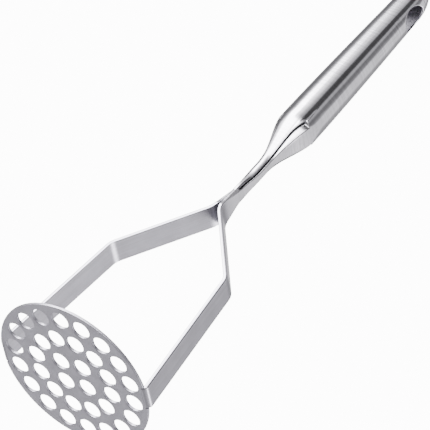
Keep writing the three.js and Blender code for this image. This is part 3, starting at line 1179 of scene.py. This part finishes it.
CARDS = (
    Card(-125, 0, 48, 2.0, -12, 45),  # key softbox
    Card(-125, 0, 22, 2.2, -12, 44),  # its bright middle
    Card(-45, 0, 55, -1.0, -12, 90),  # dim front wall
    Card(-56, 5, 19, -2.9, -12, 90),  # front flag
    Card(-11, 3, 20, -1.6, 24, 90),  # right flag
    Card(-14, 4, 24, -3.4, -8, 30),  # its lower, darker half
    Card(85, 0, 36, -1.3, 24, 90),  # rear flag
    Card(122, 0, 24, 0.45, 24, 90),  # rear fill
    Card(-176, 8, 40, -2.3, 20, 90),  # left flag
    Card(-95, 10, 32, 3.2, -14, 24),  # low front glow
    Card(-52, 10, 50, -1.0, -60, -6),  # dim side where the viewer stands
    Card(-59, 9, 20, 6.3, -8, 22),  # low glow beside the viewer
    Card(130, 20, 62, -2.4, -20, 28),  # dark rear wall
    Card(42, 8, 34, 2.7, -12, 14),  # strip light on the right
    Card(45, 12, 30, -0.4, -60, -12),  # dim low right corner
)
BASE_STOPS = 0.3
NADIR_STOPS = -1.7
NADIR_BAND = (-90, -38, 12)
BRIGHTEST_STOPS = 3.9


def studio_world(studio):
    """Surround of soft cards and dark flags over a dark table, and a plain backdrop."""
    world = bpy.data.worlds.new("studio_surround")
    shader = Shader(world)
    way = shader.node("ShaderNodeTexCoord").outputs["Generated"]
    x, y, z = shader.axes(way)
    across = (x * x + y * y) ** 0.5
    x, y = x / across, y / across
    stops = band(z, *NADIR_BAND) * NADIR_STOPS + BASE_STOPS
    for card in CARDS:
        stops = stops + card.light(x, y, z)
    stops = stops.math("MINIMUM", stops, BRIGHTEST_STOPS)
    level = stops.math("POWER", 2.0, stops)
    tint = (0.985, 0.975, 1.0, 1.0)
    surround = shader.node("ShaderNodeBackground", None, {"Color": tint, "Strength": level})
    inputs = {"Color": (1, 1, 1, 1), "Strength": studio.backdrop}
    plain = shader.node("ShaderNodeBackground", None, inputs)
    seen = shader.node("ShaderNodeLightPath").outputs["Is Camera Ray"]
    pair = {0: seen, 1: surround.outputs[0], 2: plain.outputs[0]}
    mixed = shader.node("ShaderNodeMixShader", None, pair)
    shader.node("ShaderNodeOutputWorld", None, {"Surface": mixed.outputs[0]})
    return world


def floor_material(studio):
    """Plain pale floor that can be looked through from underneath."""
    shader = Shader(bpy.data.materials.new("studio_floor"))
    inputs = {
        "Base Color": (*studio.floor_colour, 1.0),
        "Roughness": 0.9,
        "Emission Color": (*studio.floor_colour, 1.0),
        "Emission Strength": studio.floor_glow,
    }
    top = shader.node("ShaderNodeBsdfPrincipled", None, inputs)
    clear = shader.node("ShaderNodeBsdfTransparent")
    behind = shader.node("ShaderNodeNewGeometry").outputs["Backfacing"]
    pair = {0: behind, 1: top.outputs[0], 2: clear.outputs[0]}
    mixed = shader.node("ShaderNodeMixShader", None, pair)
    shader.node("ShaderNodeOutputMaterial", None, {"Surface": mixed.outputs[0]})
    return shader.owner


def add_floor(studio):
    half = studio.floor_size / 2 * MM
    mesh_data = bmesh.new()
    corners = [(-half, -half, 0), (half, -half, 0), (half, half, 0), (-half, half, 0)]
    mesh_data.faces.new([mesh_data.verts.new(corner) for corner in corners])
    mesh = bpy.data.meshes.new("studio_floor")
    mesh_data.to_mesh(mesh)
    mesh_data.free()
    mesh.materials.append(floor_material(studio))
    floor = bpy.data.objects.new("studio_floor", mesh)
    bpy.context.scene.collection.objects.link(floor)
    for ray in ("diffuse", "glossy", "transmission", "shadow"):
        setattr(floor, "visible_" + ray, False)


def add_camera(studio):
    """The camera stands in front, below the plate, and looks up along the tool."""
    place = Vector((0.85527, -1.03912, -0.84778))
    right = Vector((0.820049, 0.167916, 0.547104))
    down = Vector((0.245174, 0.760737, -0.600973))
    ahead = right.cross(down).normalized()
    axes = Matrix((right, -down, -ahead)).transposed()
    camera_data = bpy.data.cameras.new("studio_camera")
    camera_data.lens = studio.lens
    camera_data.sensor_width = 36
    camera_data.clip_end = 50
    camera = bpy.data.objects.new("studio_camera", camera_data)
    camera.matrix_world = Matrix.Translation(place) @ axes.to_4x4()
    bpy.context.scene.collection.objects.link(camera)
    bpy.context.scene.camera = camera


class MASHER_OT_studio(Operator):
    """Set up the camera, the pale floor, the surround and a soft overhead light"""

    bl_idname = "masher.studio"
    bl_label = "Studio"

    def execute(self, context):
        studio = context.scene.masher_studio
        add_camera(studio)
        add_floor(studio)
        context.scene.world = studio_world(studio)
        light_data = bpy.data.lights.new("overhead_light", "AREA")
        light_data.energy = studio.key_power
        light_data.size = 0.8
        light = bpy.data.objects.new("overhead_light", light_data)
        light.location = (-0.5, -0.5, 1.1)
        aim = Vector((0, 0, 0.15)) - light.location
        light.rotation_euler = aim.to_track_quat("-Z", "Y").to_euler()
        light.visible_glossy = False
        context.scene.collection.objects.link(light)
        return {"FINISHED"}


# ------------------------------------------------------------------ add-on


OPERATORS = (
    MASHER_OT_studio,
    MASHER_OT_plate,
    MASHER_OT_legs,
    MASHER_OT_foot_welds,
    MASHER_OT_neck_weld,
    MASHER_OT_handle,
    MASHER_OT_cap,
)


class MASHER_PT_sidebar(Panel):
    """Buttons for every piece, with the settings they use"""

    bl_idname = "MASHER_PT_sidebar"
    bl_label = "Potato Masher"
    bl_space_type = "VIEW_3D"
    bl_region_type = "UI"
    bl_category = "Masher"

    def draw(self, context):
        for operator in OPERATORS:
            self.layout.operator(operator.bl_idname)
        for name in SETTINGS:
            box = self.layout.box()
            group = getattr(context.scene, name)
            for field in group.__annotations__:
                box.prop(group, field)


def register():
    for kind in (*SETTINGS.values(), *OPERATORS, MASHER_PT_sidebar):
        bpy.utils.register_class(kind)
    for name, kind in SETTINGS.items():
        setattr(bpy.types.Scene, name, PointerProperty(type=kind))


def unregister():
    for name in SETTINGS:
        delattr(bpy.types.Scene, name)
    for kind in (MASHER_PT_sidebar, *reversed(OPERATORS), *reversed(SETTINGS.values())):
        bpy.utils.unregister_class(kind)


def main():
    register()
    for operator in OPERATORS:
        group, name = operator.bl_idname.split(".")
        getattr(getattr(bpy.ops, group), name)()


if __name__ == "__main__":
    main()
